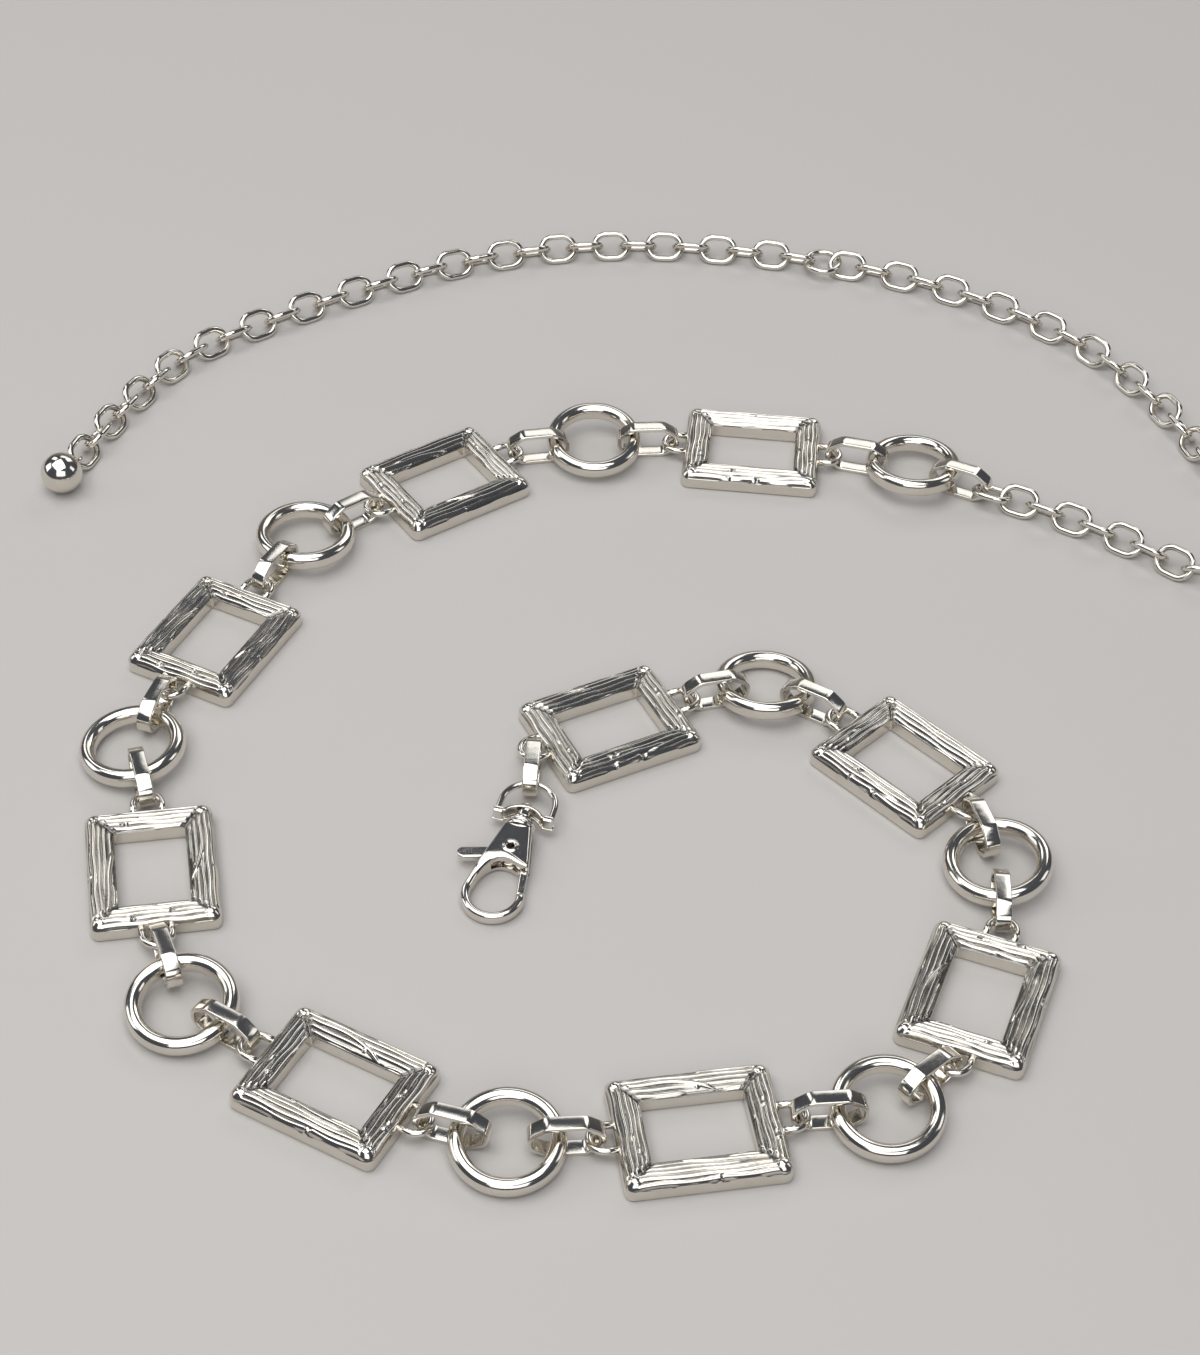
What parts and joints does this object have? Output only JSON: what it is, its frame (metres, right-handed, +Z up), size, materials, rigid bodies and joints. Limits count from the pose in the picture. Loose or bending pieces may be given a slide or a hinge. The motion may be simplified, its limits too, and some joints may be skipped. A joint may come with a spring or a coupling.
{
  "type": "waist chain",
  "caption": "Waist chain of rectangular frame links with a raised bark pattern, plain rings and strip links, with a swivel lobster clasp and an extender that ends in a ball.",
  "frame": {"origin": "middle of the layout's box, on the table", "axes": "+X to the right, +Y away from the viewer, +Z up from the table"},
  "size_m": [0.2648, 0.2833, 0.009],
  "materials": {
    "cast_nickel": "bright nickel plate on a cast bark relief",
    "polished_nickel": "polished bright nickel plate",
    "strip_nickel": "bright nickel plate on flat strip",
    "wire_nickel": "bright nickel plate on round wire",
    "clasp_nickel": "polished bright nickel plate"
  },
  "bodies": {
    "chain": {"frame_1": "cast_nickel", "frame_2": "cast_nickel", "frame_3": "cast_nickel", "frame_4": "cast_nickel", "frame_5": "cast_nickel", "frame_6": "cast_nickel", "frame_7": "cast_nickel", "frame_8": "cast_nickel", "frame_9": "cast_nickel", "ring_1": "polished_nickel", "ring_2": "polished_nickel", "ring_3": "polished_nickel", "ring_4": "polished_nickel", "ring_5": "polished_nickel", "ring_6": "polished_nickel", "ring_7": "polished_nickel", "ring_8": "polished_nickel", "ring_9": "polished_nickel", "strip_link_1": "strip_nickel", "strip_link_2": "strip_nickel", "strip_link_3": "strip_nickel", "strip_link_4": "strip_nickel", "strip_link_5": "strip_nickel", "strip_link_6": "strip_nickel", "strip_link_7": "strip_nickel", "strip_link_8": "strip_nickel", "strip_link_9": "strip_nickel", "strip_link_10": "strip_nickel", "strip_link_11": "strip_nickel", "strip_link_12": "strip_nickel", "strip_link_13": "strip_nickel", "strip_link_14": "strip_nickel", "strip_link_15": "strip_nickel", "strip_link_16": "strip_nickel", "strip_link_17": "strip_nickel", "strip_link_18": "strip_nickel", "strip_link_19": "strip_nickel", "extender_chain_near": "wire_nickel", "extender_ring": "wire_nickel", "extender_chain_far": "wire_nickel", "ball_end": "polished_nickel", "swivel_bail": "wire_nickel"},
    "hook": {"hook_body": "clasp_nickel", "hook_eyelet": "clasp_nickel"},
    "gate": {"gate_lever": "clasp_nickel"}
  },
  "joints": [
    {"name": "clasp_swivel", "type": "hinge", "parent": "chain", "child": "hook", "pos_m": [-0.02513, -0.06289, 0.00266], "axis": [-0.2241, -0.9709, -0.0847], "continuous": true},
    {"name": "gate_pivot", "type": "hinge", "parent": "hook", "child": "gate", "pos_m": [-0.02513, -0.06289, 0.00266], "axis": [0.0191, 0.0825, -0.9964], "range_deg": [0, 25], "stiffness_Nm_per_rad": 0.02}
  ]
}
